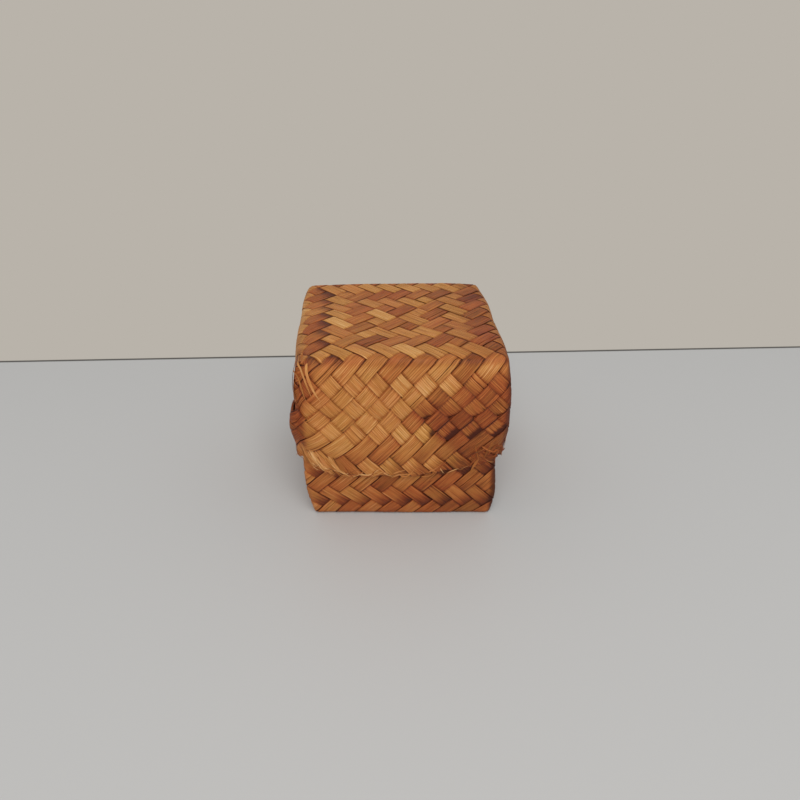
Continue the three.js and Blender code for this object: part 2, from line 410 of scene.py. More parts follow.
def ring_wave(seed, amplitude):
    """A smooth random height round the box, from whole numbers of waves."""
    draws = np.random.default_rng(seed)
    turns = 2 * math.pi * np.array(RIM_WAVE_COUNTS) / (STRIPS * len(SIDES))
    phases = draws.uniform(0, 2 * math.pi, len(turns))
    moves = draws.normal(size=len(turns)) * amplitude * math.sqrt(2 / len(turns))
    return lambda ring: np.sin(ring[..., None] * turns + phases) @ moves


rim_waves = {half.body: ring_wave(half.wave_seed, half.rim_wave) for half in (lid, base)}


def band_of(bands, row):
    """The band that a row lies in, both counted from 0 at the fold."""
    return int(np.searchsorted(np.cumsum(bands), row, side="right"))


def is_over(sheet, strip, index):
    """Whether the strip is the outer one of the two at a crossing."""
    if index in (0, strip.span):
        return index == 0
    if 0 < index < strip.span:
        x = abs(strip.lane + 0.5 - HALF_SIDE + index / ROWS_PER_UNIT)
        y = abs(index / ROWS_PER_UNIT - HALF_SIDE)
        ring = math.ceil(HALF_SIDE - max(x, y))
        return (ring % 2 == 0) == (y >= x)
    rising = index < 0
    rows_out = -index if rising else index - strip.span
    in_hem = rows_out > sheet.rim_row
    row = 2 * sheet.rim_row - rows_out if in_hem else rows_out
    slant_on_top = band_of(sheet.hem_bands if in_hem else sheet.wall_bands, row) % 2 == 0
    return slant_on_top == (rising != in_hem)


def make_strip(sheet, side, lane, draws):
    """A strip and its own irregularities. Bulges, tilts, tones and reds are drawn for each
    float, and listed for each crossing. A level is 1 on the outside and -1 on the inside."""
    span = ROWS_PER_UNIT * (STRIPS - lane) - 1
    strip = SimpleNamespace(side=side, lane=lane, span=span)
    rows_out = int((sheet.wall_units + sheet.tail_units) * ROWS_PER_UNIT)
    strip.first = -rows_out - 1
    count = span + 2 * rows_out + 3
    strip.levels = np.ones(count)
    for position in range(count):
        index = strip.first + position
        inside = min(max(index, -rows_out), span + rows_out)
        in_hem = max(-inside, inside - span) > sheet.rim_row
        strip.levels[position] = 1 if is_over(sheet, strip, inside) != in_hem else -1
    if sheet.tail_units:
        strip.levels[[0, -1]] = 1
    changes = np.concatenate([[0], np.cumsum(np.diff(strip.levels) != 0)])
    floats = changes[-1] + 1
    strip.float_starts = np.searchsorted(changes, changes, side="left")
    strip.float_ends = np.searchsorted(changes, changes, side="right")
    strip.bulges = draws.normal(0, BULGE_SPREAD, floats)[changes]
    strip.tilts = draws.normal(0, TILT_SPREAD, floats)[changes]
    strip.tones = draws.normal(0, FLOAT_TONE_SPREAD, floats)[changes]
    strip.reds = draws.normal(0, FLOAT_RED_SPREAD, floats)[changes]
    strip.tone = draws.normal(0, STRIP_TONE_SPREAD)
    strip.red = draws.normal(0, STRIP_RED_SPREAD)
    strip.seed = draws.uniform(0, 1)
    strip.width = draws.uniform(*STRIP_WIDTH_SHARES)
    strip.sway = draws.uniform(0, 2 * math.pi, len(SWAY_WAVES))
    is_split = draws.uniform() < SPLIT_STRIP_SHARE
    strip.split = draws.uniform(*SPLIT_PLACES) if is_split else None
    return strip


def along(strip, values, index):
    """A value given for each crossing, at any place along the strip. It keeps its value
    through a crossing and changes in a short ramp on the way to the next one."""
    place_along = np.clip(index - strip.first, 0, len(values) - 1)
    before = np.minimum(place_along.astype(int), len(values) - 2)
    ramp_start = 0.5 - RAMP_CROSSINGS / 2
    ramp = smoothstep(ramp_start, ramp_start + RAMP_CROSSINGS, place_along - before)
    return values[before] + (values[before + 1] - values[before]) * ramp


def share_of_float(strip, index):
    """How far along its float, or its stretch underneath, a place on the strip is, and how
    many crossings that float passes."""
    place_along = np.clip(index - strip.first, 0, len(strip.levels) - 1)
    nearest = np.rint(place_along).astype(int)
    start = strip.float_starts[nearest] - 0.5
    end = strip.float_ends[nearest] - 0.5
    return (place_along - start) / (end - start), end - start


def wall_half_width(sheet, depth):
    near = sheet.belly_swell * np.sin(QUARTER_TURN * depth / sheet.belly_units)
    share = (depth - sheet.belly_units) / (sheet.wall_units - sheet.belly_units)
    far = sheet.belly_swell + (sheet.rim_swell - sheet.belly_swell) * share
    return sheet.fold_half + np.where(depth < sheet.belly_units, near, far)


def ring_distance(ring, place_on_ring):
    around = STRIPS * len(SIDES)
    return (ring - place_on_ring + around / 2) % around - around / 2


def saw(ring):
    """A wave of one unit that falls slowly and jumps up, from half to minus half."""
    share = (ring + SAW_START) % 1
    falling = 0.5 - share / (1 - SAW_JUMP_SHARE)
    return np.where(share < 1 - SAW_JUMP_SHARE, falling, (share - 1) / SAW_JUMP_SHARE + 0.5)


def bell(distance, reach):
    return np.exp(-((distance / reach) ** 2))


def dent(ring, depth):
    """How far the lid's wall is pushed in above its loose corner."""
    near = bell(ring_distance(ring, DENT_PLACE), DENT_REACH)
    return DENT * near * bell(depth - DENT_DEPTH, DENT_HEIGHT)


def pinch(ring, depth):
    """How far the lid's rim is pressed in near its front left corner."""
    near = bell(ring_distance(ring, PINCH_PLACE), PINCH_REACH)
    return PINCH * near * smoothstep(*PINCH_UNITS, depth)


def hem_looseness(ring, depth):
    """How far the hem stands off the wall at its loose corner."""
    free = smoothstep(*FLAP_ROOT_UNITS, depth) * (1 - smoothstep(*FLAP_UNITS, depth))
    return FLAP_LIFT * bell(ring_distance(ring, FLAP_PLACE), FLAP_REACH) * free


def hem_fold(ring, depth, past_rim, swing, height):
    """How far off the lid's middle surface a point lies, and how far it hangs below the rim,
    where the plan swings up outside the wall."""
    lift = np.where(past_rim > 0, HEM_OFFSET * smoothstep(*HEM_LIFT_UNITS, depth), HEM_OFFSET)
    hem_share = (1 + np.sin(swing)) / 2
    offset = lift * hem_share - height * np.sin(swing)
    sink = smoothstep(*WALL_SINK_UNITS, depth) - smoothstep(*WALL_RETURN_UNITS, depth)
    wall_in = WALL_SINK * sink + dent(ring, depth)
    offset += np.where(past_rim < 0, -wall_in, hem_looseness(ring, depth))
    offset -= pinch(ring, depth) * (PINCH_WALL_SHARE + (1 - PINCH_WALL_SHARE) * hem_share)
    return offset, (HEM_OFFSET / 2 - height) * np.cos(swing)


def edge_radii(sheet, left, front, turn, lowness):
    """The radii of the edges, along x, y and z of a wall turned to the front. Left and front
    are how far a point lies that way, in half widths."""
    softness = sheet.left_softness * smoothstep(*SOFT_LEFT, left) * smoothstep(*SOFT_FRONT, front)
    front_or_back = np.abs(np.cos(turn)) > 0.5
    corner = sheet.corner_radius + sheet.rim_softness * lowness
    radius_x = corner + np.where(front_or_back, softness, 0)
    radius_y = corner + np.where(front_or_back, 0, softness)
    return np.stack(np.broadcast_arrays(radius_x, radius_y, sheet.top_radius + softness), axis=-1)


def turned(points, turn):
    """Points turned about the middle of the box."""
    x, y, z = points[..., 0], points[..., 1], points[..., 2]
    turned_x = x * np.cos(turn) - y * np.sin(turn)
    turned_y = x * np.sin(turn) + y * np.cos(turn)
    return np.stack([turned_x, turned_y, z], axis=-1)


def place(sheet, side, x, y, rising, height):
    """Points of the unfolded plan, in units, put on the box at a height off its middle
    surface. Past the rim the plan folds up outside the wall, and the height turns over."""
    unrolled = np.where(rising, -HALF_SIDE - y, x - HALF_SIDE)
    ring = np.where(rising, STRIPS * side + x, STRIPS * (side + 1) + y)
    on_face = unrolled <= 0
    wall = np.floor((ring + HALF_SIDE) / STRIPS)
    across = np.where(on_face, x, ring - STRIPS * wall) / HALF_SIDE
    turn = np.where(on_face, side, wall) * QUARTER_TURN

    past_rim = unrolled - sheet.wall_units
    fold_half = sheet.rim_fold_half / sheet.unit_height
    depth = np.maximum(sheet.wall_units - np.maximum(np.abs(past_rim), fold_half), 0)
    depth = np.where(on_face, 0, np.where(unrolled < fold_half, np.maximum(unrolled, 0), depth))
    swing = np.clip(past_rim / fold_half, -1, 1) * QUARTER_TURN
    if sheet.tail_units:
        offset, hang = hem_fold(ring, depth, past_rim, swing, height)
    else:
        offset = -height * np.sin(swing)
        hang = np.abs(height) * np.cos(swing)

    half = wall_half_width(sheet, depth)
    lowness = smoothstep(*UNEVEN_UNITS, depth)
    raise_share = 1 - sheet.corner_raise_share * np.abs(across) ** 3 * lowness
    wave = rim_waves[sheet.body](ring) * lowness
    wave = wave + sheet.rim_saw * saw(ring) * smoothstep(*SAW_UNITS, depth)
    fall = -depth * sheet.unit_height * raise_share - hang + wave
    bow = sheet.bow * (1 - smoothstep(0, BOW_UNITS, depth))
    half_x = half + np.where(on_face, bow * (1 - (y / HALF_SIDE) ** 2), 0)
    half_y = half + bow * (1 - across**2)
    sharp_x = across * half_x
    sharp_y = np.where(on_face, y / HALF_SIDE, -1) * half_y
    sharp = np.stack([sharp_x, sharp_y, np.where(on_face, 0, fall)], axis=-1)

    left = (sharp_y * np.sin(turn) - sharp_x * np.cos(turn)) / half
    front = (-sharp_x * np.sin(turn) - sharp_y * np.cos(turn)) / half
    radii = edge_radii(sheet, left, front, turn, lowness)
    limits = np.stack([half_x, half_y], axis=-1) - radii[..., :2]
    inner_sides = np.clip(sharp[..., :2], -limits, limits)
    inner = np.concatenate([inner_sides, np.minimum(sharp[..., 2:], -radii[..., 2:])], axis=-1)
    normal = unit((sharp - inner) / radii)
    return turned(inner + normal * (radii + offset[..., None]), turn)


def in_place(sheet, points):
    """Points of a half, made with its closed face up at the origin, put where they belong on
    the box, with the box's own crookedness."""
    if sheet.body == "lid":
        x, y, z = points[..., 0], points[..., 1], points[..., 2] + BOX_HEIGHT - WALL_THICKNESS / 2
    else:
        x, y, z = -points[..., 0], points[..., 1], LAYER + THICKNESS / 2 - points[..., 2]
        twist = FOOT_TWIST * (1 - smoothstep(0, FOOT_TWIST_HEIGHT, z))
        behind = y - FRONT
        x, y = x * np.cos(twist) - behind * np.sin(twist), y + x * np.sin(twist)
        z = (z + np.sqrt(z**2 + CONTACT_SOFTNESS**2)) / 2
    lean = WAIST_LEAN * bell(z - WAIST_HEIGHT, WAIST_REACH)
    return np.stack([x - SHEAR * (y - FRONT) - lean, y, z], axis=-1)


def row_places(sheet, strip, start, end):
    """Where along the strip its rows of points lie, closer together where it goes over an
    edge of the box and round each rim fold."""
    rims = (-sheet.rim_row, strip.span + sheet.rim_row)
    edges = (0, strip.span, -ROWS_PER_UNIT * strip.lane - 1, ROWS_PER_UNIT * STRIPS)
    fold_half = ROWS_PER_UNIT * sheet.rim_fold_half / sheet.unit_height
    places = [start, end]
    index = start
    while index < end:
        rows_out = max(-index, index - strip.span)
        fine = rows_out < sheet.last_fine_row or rows_out > sheet.rim_row
        near_edge = any(abs(index - edge) < EDGE_REACH for edge in edges)
        if all(abs(index - rim) > fold_half * RIM_CLEAR for rim in rims):
            places.append(index)
        index += 1 / (EDGE_STEPS if near_edge else FINE_STEPS if fine else COARSE_STEPS)
    for rim in rims:
        places += [rim + step * fold_half for step in RIM_FOLD_STEPS]
    return np.array(sorted({round(value, 6) for value in places if start <= value <= end}))


def strip_half_width(sheet):
    return sheet.fold_half / STRIPS / math.sqrt(2)


def strip_points(sheet, strip, warp, places, left, right):
    """The rows of points of a ribbon that fills a strip from left to right, as shares of its
    half width. Near a rim the rows slant, to lie along the fold."""
    middle, half = (left + right) / 2, (right - left) / 2
    waves = zip(SWAY_WAVES, strip.sway)
    sway = sum(reach * np.sin(places * turn + phase) for (reach, turn), phase in waves)
    t = (middle + half * OUTLINE[:, 0])[None, :] * strip.width + sway[:, None]
    slant = np.zeros(len(places))
    for rim, way in ((-sheet.rim_row, -RIM_SLANT), (strip.span + sheet.rim_row, RIM_SLANT)):
        slant += way * (1 - smoothstep(*RIM_SLANT_CROSSINGS, np.abs(places - rim)))
    index = places[:, None] + slant[:, None] * t
    x = strip.lane + 0.5 - HALF_SIDE + index / ROWS_PER_UNIT - EDGE_UNITS * t
    y = index / ROWS_PER_UNIT - HALF_SIDE + EDGE_UNITS * t
    height = LAYER * along(strip, strip.levels, index) + along(strip, strip.bulges, index)
    height += along(strip, strip.tilts, index) * t * strip_half_width(sheet)
    height += (OUTLINE[:, 1] * THICKNESS / 2 + OUTLINE[:, 2] * CROWN * half)[None, :]
    points = place(sheet, strip.side, x, y, index < strip.span / 2, height)
    points += warp(points)
    return in_place(sheet, points), index, t


def ribbon_faces(rows, ring):
    """Quads between neighbouring rows of points, and a face at each end."""
    first = np.arange(rows - 1)[:, None] * ring + np.arange(ring)[None, :]
    beside = np.arange(rows - 1)[:, None] * ring + (np.arange(ring)[None, :] + 1) % ring
    quads = np.stack([first, beside, beside + ring, first + ring], axis=-1).reshape(-1, 4)
    start = list(range(ring - 1, -1, -1))
    end = [(rows - 1) * ring + corner for corner in range(ring)]
    return quads.tolist() + [start, end]


def add_object(name, data):
    added = bpy.data.objects.new(name, data)
    bpy.context.scene.collection.objects.link(added)
    return added


class PieceBuilder:
    """Gathers the ribbons of one piece, with what its material reads at each point."""

    def __init__(self):
        self.points, self.faces, self.uvs = [], [], []
        self.values = {"tone": [], "red": [], "seed": []}
        self.count = 0

    def add(self, points, uv, **values):
        rows, ring, _ = points.shape
        for face in ribbon_faces(rows, ring):
            self.faces.append([corner + self.count for corner in face])
        self.points.append(points.reshape(-1, 3))
        self.uvs.append(uv.reshape(-1, 2))
        for key, value in values.items():
            self.values[key].append(np.broadcast_to(value, (rows, ring)).ravel())
        self.count += rows * ring

    def make(self, name, body, slot, nodes=()):
        mesh = bpy.data.meshes.new(name)
        mesh.from_pydata(np.concatenate(self.points).tolist(), [], self.faces)
        uvs = np.concatenate(self.uvs)[np.concatenate(self.faces)]
        uv_layer = mesh.uv_layers.new(name="strip")
        uv_layer.data.foreach_set("uv", uvs.astype(np.float32).ravel())
        for key, values in self.values.items():
            attribute = mesh.attributes.new(key, "FLOAT", "POINT")
            attribute.data.foreach_set("value", np.concatenate(values).astype(np.float32))
        mesh.shade_smooth()
        mesh.set_sharp_from_angle(angle=SHARP_ANGLE)
        mesh.materials.append(materials[slot])
        piece = add_object(name, mesh)
        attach(piece, body)
        if nodes:
            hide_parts(*nodes)


def patch(points, steps):
    """How far each point lies inside a place on the box, from 0 to 1."""
    share = 1
    for axis, start, full in steps:
        share = share * smoothstep(start * MM, full * MM, points[..., "xyz".index(axis)])
    return share


def course(strip, points, index):
    """Which way a strip runs at its points, and how near they lie to the ends of their float.
    It leans left where it rises to the left, seen from outside or, on top, from the front."""
    x, y = points[..., 0], points[..., 1]
    step_x, step_y, step_z = np.moveaxis(np.gradient(points, axis=0), -1, 0)
    top = patch(points, LID_TOP)
    down = np.where(step_z < 0, 1, -1)
    share, crossings = share_of_float(strip, index)
    return SimpleNamespace(
        top=top,
        leans_left=np.where(top > 0.5, step_x * step_y < 0, (x * step_y - y * step_x) * down > 0),
        to_low_end=np.where(down > 0, share, 1 - share),
        to_right_end=np.where(step_x > 0, share, 1 - share),
        long=smoothstep(*LONG_FLOAT, crossings),
    )


def shaded(tone, red, *shades):
    """A tone and redness after shades, each with how much of it lies at each point."""
    for share, (darker, redder) in shades:
        tone = tone - darker * share
        red = red + redder * share
    return tone, red


def shared_shades(strip, points, index, run):
    """The painted shades that strips of both halves have: in the gaps between strips, and at the
    low ends of floats.
    """
    gap_shade = (1 - along(strip, strip.levels, index) * OUTLINE[:, 1]) / 2
    gap_shade = gap_shade * (1 - FAINTER_GAP_SHADE_SHARE * patch(points, FAINT_GAP_SHADE_FRONT))
    low_end_shade = smoothstep(*LOW_END_SHARES, run.to_low_end) * run.long
    low_end_shade = low_end_shade * np.where(run.leans_left, 1, LOW_END_RIGHT_LEAN)
    low_end_shade = low_end_shade * patch(points, LOW_END_ROWS)
    return (gap_shade, COVERED_GAP_SHADE), (low_end_shade, LOW_END_SHADE)


def base_shades(points):
    right_edge_shade = patch(points, BASE_RIGHT_CORNER)
    return (1, WHOLE_BASE), (patch(points, BASE_RIGHT), RIGHT_OF_BASE), (right_edge_shade, RIGHT_EDGE_SHADE)


def lid_shades(strip, points, index, run):
    """The lid's own shades, apart from its stain and what lies over that."""
    to_rim = np.abs(np.maximum(-index, index - strip.span) - lid.rim_row)
    rim_end_shade = smoothstep(*RIM_END_CROSSINGS, to_rim) * run.leans_left
    wedge = smoothstep(*WEDGE_SHARES, run.to_right_end) * ~run.leans_left * run.top
    return (
        (rim_end_shade * patch(points, RIM_END_PLACE), RIM_END_SHADE),
        (wedge * patch(points, TOP_LEFT_EDGE), WEDGE),
        (run.top * run.leans_left, LAID_LEFT),
        (run.top * ~run.leans_left, LAID_RIGHT),
        (run.top * patch(points, TOP_RIGHT), RIGHT_OF_TOP),
        (patch(points, LID_RIGHT_CORNER), RIGHT_EDGE_SHADE),
    )


def stained(tone, red, points, run):
    """The lid's tone and redness with its stain, the painted shadow of the gaping slots in that,
    and the painted shade of its front left corner and its loose flap."""
    x, y, z = points[..., 0], points[..., 1], points[..., 2]
    past_edge = x - STAIN_START - STAIN_SLOPE * np.maximum(STAIN_TOP - z, 0)
    stain = smoothstep(0, STAIN_FADE, past_edge)
    stain = stain * smoothstep(STAIN_TOP + STAIN_FADE, STAIN_TOP, z)
    stain = np.maximum(stain, patch(points, SIDE_STAIN))
    stain = stain * patch(points, STAINED_HALF) * (1 - run.top)
    tone, red = shaded(tone, red, (stain, STAIN))
    tone = tone + (STAIN_TONE - tone) * STAIN_EVENNESS * stain
    slot = smoothstep(*SLOT_SHARES, run.to_low_end) * run.leans_left * (y < 0)
    slot = slot * smoothstep(0, SLOT_FADE, past_edge) * patch(points, SLOT_ROWS)
    shaded_flap = patch(points, FLAP_SHADE) * (1 - run.top)
    under_slivers = patch(points, LEFT_CORNER)
    return shaded(tone, red, (slot, SLOT), (under_slivers, UNDER_SLIVERS), (shaded_flap, SHADED_FLAP))


def colouring(sheet, strip, points, index):
    """The tone, from dark to pale, and the redness of a strip at its points."""
    run = course(strip, points, index)
    tone = BASE_TONE + strip.tone + along(strip, strip.tones, index)
    red = BASE_RED + strip.red + along(strip, strip.reds, index)
    tone, red = shaded(tone, red, *shared_shades(strip, points, index, run))
    if sheet.body == "base":
        return shaded(tone, red, *base_shades(points))
    tone, red = shaded(tone, red, *lid_shades(strip, points, index, run))
    return stained(tone, red, points, run)


def add_strip(builder, sheet, strip, warp, rows_out):
    """A whole strip, or its two halves where it is split along its length. It reaches a number
    of rows past the fold at each end."""
    places = row_places(sheet, strip, -rows_out, strip.span + rows_out)
    parts = [(-1, 1)]
    if strip.split is not None:
        parts = [(-1, strip.split - SPLIT_GAP_SHARE), (strip.split + SPLIT_GAP_SHARE, 1)]
    for left, right in parts:
        points, index, t = strip_points(sheet, strip, warp, places, left, right)
        tone, red = colouring(sheet, strip, points, index)
        uv = np.stack([2 * strip_half_width(sheet) * index, t], axis=-1)
        builder.add(points, uv, tone=tone, red=red, seed=strip.seed)


def build_lid():
    draws = np.random.default_rng(lid.strip_seed)
    warp = warp_field(lid.warp_seed, lid.warp)
    rows_out = (lid.wall_units + lid.tail_units) * ROWS_PER_UNIT + TAIL_END
    for side, side_name in enumerate(SIDES):
        slot = "bamboo_warm" if side in PAIRED_SIDES else "bamboo_pale"
        for lane in range(STRIPS):
            strip = make_strip(lid, side, lane, draws)
            builder = PieceBuilder()
            add_strip(builder, lid, strip, warp, rows_out)
            node = f"lid_strip_{side_name}_{lane + 1}"
            builder.make(f"{node}_bamboo", "lid", slot, [node])


def build_base():
    """The base is the lid's weave turned over. Each of its nodes holds two strips, which meet
    on the base's rim, where one folds over and goes down as the other."""
    draws = np.random.default_rng(base.strip_seed)
    warp = warp_field(base.warp_seed, base.warp)
    for side in PAIRED_SIDES:
        for lane in range(STRIPS):
            builder = PieceBuilder()
            for half_side, half_lane in ((side + 1, STRIPS - 1 - lane), (side, lane)):
                strip = make_strip(base, half_side, half_lane, draws)
                add_strip(builder, base, strip, warp, base.rim_row)
            node = f"base_strip_{SIDES[side]}_{lane + 1}"
            builder.make(f"{node}_bamboo", "base", "bamboo_base", [node])


def bezier(controls, steps):
    """Points along a Bezier curve through space of any number of controls."""
    share = np.linspace(0, 1, steps)[:, None]
    degree = len(controls) - 1
    return sum(
        math.comb(degree, k) * share**k * (1 - share) ** (degree - k) * np.array(control)
        for k, control in enumerate(controls)
    )


def beside_hem(side, x, depth, out):
    """Points outside the lid's wall, given by units across that side, units of depth below
    the fold, which may pass the rim, and the height off the hem's middle."""
    last = lid.wall_units - LAST_HEM_DEPTH
    below = np.maximum(depth - last, 0)
    y = -HALF_SIDE - 2 * lid.wall_units + np.minimum(depth, last)
    points = place(lid, side, x, y, np.ones_like(x, bool), -out)
    points[..., 2] -= below * lid.unit_height
    return in_place(lid, points)


def add_sliver(builder, draws, side, controls, width, tone, red, steps=SLIVER_STEPS):
    """A thin sliver of bamboo that tapers to its tip. Its controls are places beside the hem:
    units across, units deep, and height off the hem's middle."""
    x, depth, out = bezier(controls, steps).T
    out = out + draws.normal(0, SLIVER_WIGGLE, steps)
    middle = beside_hem(side, x, depth, out)
    outward = unit(beside_hem(side, x, depth, out + MM) - middle)
    sideways = unit(np.cross(np.gradient(middle, axis=0), outward))
    share = np.linspace(0, 1, steps)
    taper = np.clip(1 + SLIVER_TIP - share**3, 0, 1)
    taper = taper * np.clip(SLIVER_ROOT + SLIVER_ROOT_RATE * share, 0, 1)
    aside = sideways * (width / 2 * taper)[:, None]
    above = outward * (SLIVER_THICKNESS / 2 * taper)[:, None]
    points = np.stack([middle - above, middle + aside, middle + above, middle - aside], axis=1)
    length = np.concatenate([[0], np.cumsum(np.linalg.norm(np.diff(middle, axis=0), axis=1))])
    across = np.array([1, 0, -1, 0]) * SLIVER_GRAIN * width
    uv = np.stack(np.broadcast_arrays(length[:, None], across[None, :]), axis=-1)
    builder.add(points, uv, tone=tone, red=red, seed=draws.uniform(0, 1))


def drawn(draws, values):
    """A random number between two values, or between the outer two of three and most often
    near the middle one."""
    if len(values) == 3:
        return draws.triangular(*values)
    first, last = values
    return first + (last - first) * draws.random()


def rim_route(draws, kind):
    """The controls of one fibre that hangs along the rim."""
    x = drawn(draws, kind.start)
    way = draws.choice([-1, 1]) if kind.both_ways else 1
    reach = way * drawn(draws, kind.reach)
    controls = []
    for share, shift, depths, heights in kind.controls:
        depth = lid.wall_units + drawn(draws, depths)
        height = drawn(draws, heights) * MM if heights else FRAY_ROOT
        controls.append((x + share * reach + shift, depth, height))
    return controls


def corner_route(draws, kind):
    """The controls of one fibre that lies across the hem near a corner."""
    x = drawn(draws, kind.start)
    depth = drawn(draws, kind.depth)
    turn = draws.choice(kind.turns) + draws.normal(0, kind.turn_spread)
    reach = drawn(draws, kind.reach)
    ahead_x, ahead_depth = reach * math.cos(turn), reach * math.sin(turn)
    return [
        (x - ahead_x, depth - ahead_depth, FRAY_ROOT),
        (x, depth, drawn(draws, kind.middle_height) * MM),
        (x + ahead_x, depth + ahead_depth, drawn(draws, kind.tip_height) * MM),
    ]


def add_frays(builder, draws, side, kind, route=rim_route):
    for _ in range(kind.count):
        controls = route(draws, kind)
        width = drawn(draws, kind.width) * MM
        tone = draws.normal(*kind.tone)
        red = draws.normal(*kind.red)
        add_sliver(builder, draws, side, controls, width, tone, red)


def build_frays():
    """Fibres that have come away: a pale fringe along the front left of the rim, long slivers
    that hang from its middle, a ragged right corner, and a few more all round."""
    draws = np.random.default_rng(FRAY_SEED)
    builder = PieceBuilder()
    add_frays(builder, draws, 0, FRINGE)
    add_frays(builder, draws, 0, RIM_SLIVERS)
    add_frays(builder, draws, 0, CORNER_FRAYS, corner_route)
    for side in range(len(SIDES)):
        add_frays(builder, draws, side, SPARSE_FRAYS)
    builder.make("lid_frays", "lid", "bamboo_pale")


def build_corner_slivers():
    """Narrow strips split off at the lid's front left corner, where they run down the edge of
    the box before they join the weave."""
    draws = np.random.default_rng(CORNER_SLIVER_SEED)
    builder = PieceBuilder()
    for route, width, tone in CORNER_SLIVERS:
        controls = [(x, depth, CORNER_SLIVER_LIFT) for x, depth in route]
        red, steps = CORNER_SLIVER_RED, CORNER_SLIVER_STEPS
        add_sliver(builder, draws, 0, controls, width, tone, red, steps)
    builder.make("lid_corner_slivers", "lid", "bamboo_pale")


def linear(hex_colour):
    """An sRGB colour as Blender's linear red, green and blue, and an alpha of 1."""
    channels = [int(hex_colour[start:start + 2], 16) / 255 for start in (1, 3, 5)]
    return [c / 12.92 if c <= 0.04045 else ((c + 0.055) / 1.055) ** 2.4 for c in channels] + [1]


class Nodes:
    """A short way to write the nodes of a material or of the world."""

    def __init__(self, owner):
        owner.use_nodes = True
        self.tree = owner.node_tree

    def link(self, value, socket):
        if hasattr(value, "is_output"):
            self.tree.links.new(value, socket)
        else:
            socket.default_value = value

    def feed(self, node, inputs):
        """Links or sets the inputs of a node that are given by name."""
        for name, value in inputs.items():
            self.link(value, node.inputs[name])
        return node

    def new(self, kind, **inputs):
        return self.feed(self.tree.nodes.new(f"ShaderNode{kind}"), inputs)

    def math(self, operation, *values, clamp=False):
        node = self.new("Math")
        node.operation = operation
        node.use_clamp = clamp
        for value, socket in zip(values, node.inputs):
            self.link(value, socket)
        return node.outputs[0]

    def weighted(self, total, *terms, clamp=False):
        """A value with others added to it, each times its weight."""
        for value, weight in terms:
            total = self.math("ADD", total, self.math("MULTIPLY", value, weight), clamp=clamp)
        return total

    def rise(self, value, start, rate):
        """0 up to a start, and from there a steady rise to 1."""
        return self.math("MULTIPLY", self.math("SUBTRACT", value, start), rate, clamp=True)

    def centred(self, noise):
        return self.math("SUBTRACT", noise, 0.5)

    def attribute(self, name):
        node = self.new("Attribute")
        node.attribute_name = name
        return node.outputs["Fac"]

    def strip_place(self):
        node = self.new("UVMap")
        node.uv_map = "strip"
        apart = self.new("SeparateXYZ", Vector=node.outputs[0])
        return apart.outputs[0], apart.outputs[1]

    def noise(self, grain, u, v, seed):
        x = self.math("MULTIPLY", u, grain.along)
        y = self.math("MULTIPLY", v, grain.across)
        spot = self.new("CombineXYZ", X=x, Y=y, Z=seed).outputs[0]
        kind = {"Scale": 1, "Detail": grain.detail, "Roughness": grain.roughness}
        return self.new("TexNoise", Vector=spot, **kind).outputs["Fac"]

    def ramp(self, value, stops):
        node = self.new("ValToRGB", Fac=value)
        elements = node.color_ramp.elements
        while len(elements) < len(stops):
            elements.new(0.5)
        for element, (position, colour) in zip(elements, stops):
            element.position = position
            element.color = linear(colour)
        return node.outputs[0]

    def mix(self, share, first, second):
        """A mix of two colours, whose sockets come after those for numbers and vectors."""
        node = self.new("Mix")
        node.data_type = "RGBA"
        for value, socket in ((share, 0), (first, 6), (second, 7)):
            self.link(value, node.inputs[socket])
        return node.outputs[2]

    def show(self, output, share, first, second):
        """Shows the second of two shaders where a share is 1, and the first where it is 0."""
        join = self.new("MixShader")
        for value, socket in zip((share, first, second), join.inputs):
            self.link(value, socket)
        self.link(join.outputs[0], self.tree.nodes[output].inputs["Surface"])


# Bamboo from dark to pale, as straw and as the red-brown that straw turns to.
STRAW_STOPS = ((0.0, "#5a3113"), (0.3, "#996029"), (0.6, "#c68b47"), (1.0, "#e9c58c"))
RED_STOPS = ((0.0, "#45190a"), (0.3, "#873e1b"), (0.6, "#b46631"), (1.0, "#d99a62"))

# The noises of the grain, by their waves to a metre along a strip and to a half width across.
COARSE_GRAIN = SimpleNamespace(along=30.0, across=5.0, detail=3, roughness=0.6)
FINE_GRAIN = SimpleNamespace(along=90.0, across=19.0, detail=2, roughness=0.6)
GROOVE_DRIFT = SimpleNamespace(along=60.0, across=1.5, detail=1, roughness=0.5)
BLOTCHES = SimpleNamespace(along=130.0, across=1.3, detail=3, roughness=0.6)
CRACK_LINES = SimpleNamespace(along=16.0, across=3.0, detail=0, roughness=0.5)
SEED_SPREAD = 97.0

# Grooves to a half width, how far they wander, and where they and the painted shade along the
# strips' edges start and how fast they grow. Grooves fade where the coarse grain is low.
GROOVES = 4.4
GROOVE_WANDER = 1.2
GROOVE_RISE = (0.34, 7.0)
GROOVE_GRAIN_RISE = (0.32, 4.0)
EDGE_SHADE_RISE = (0.86, 8.0)
CRACK_WIDTH = 0.012

# How much each of them changes the tone, the redness, the relief and the roughness.
TONES = SimpleNamespace(coarse=0.65, fine=1.05, blotch=0.3, groove=-0.2, crack=-0.22, edge=-0.2)
BLOTCH_REDNESS = 1.3
RELIEFS = SimpleNamespace(fine=0.6, groove=-0.35, crack=-0.8)
RELIEF_DEPTH = 0.25 * MM
RELIEF_STRENGTH = 0.8
LEAST_ROUGHNESS = 0.4
FINE_ROUGHNESS = 0.25
SPECULAR = 0.22

# The materials, by how much they shift the tone and the redness.
BAMBOOS = {"bamboo_warm": (0.0, 0.1), "bamboo_pale": (0.04, -0.1), "bamboo_base": (0.0, 0.05)}


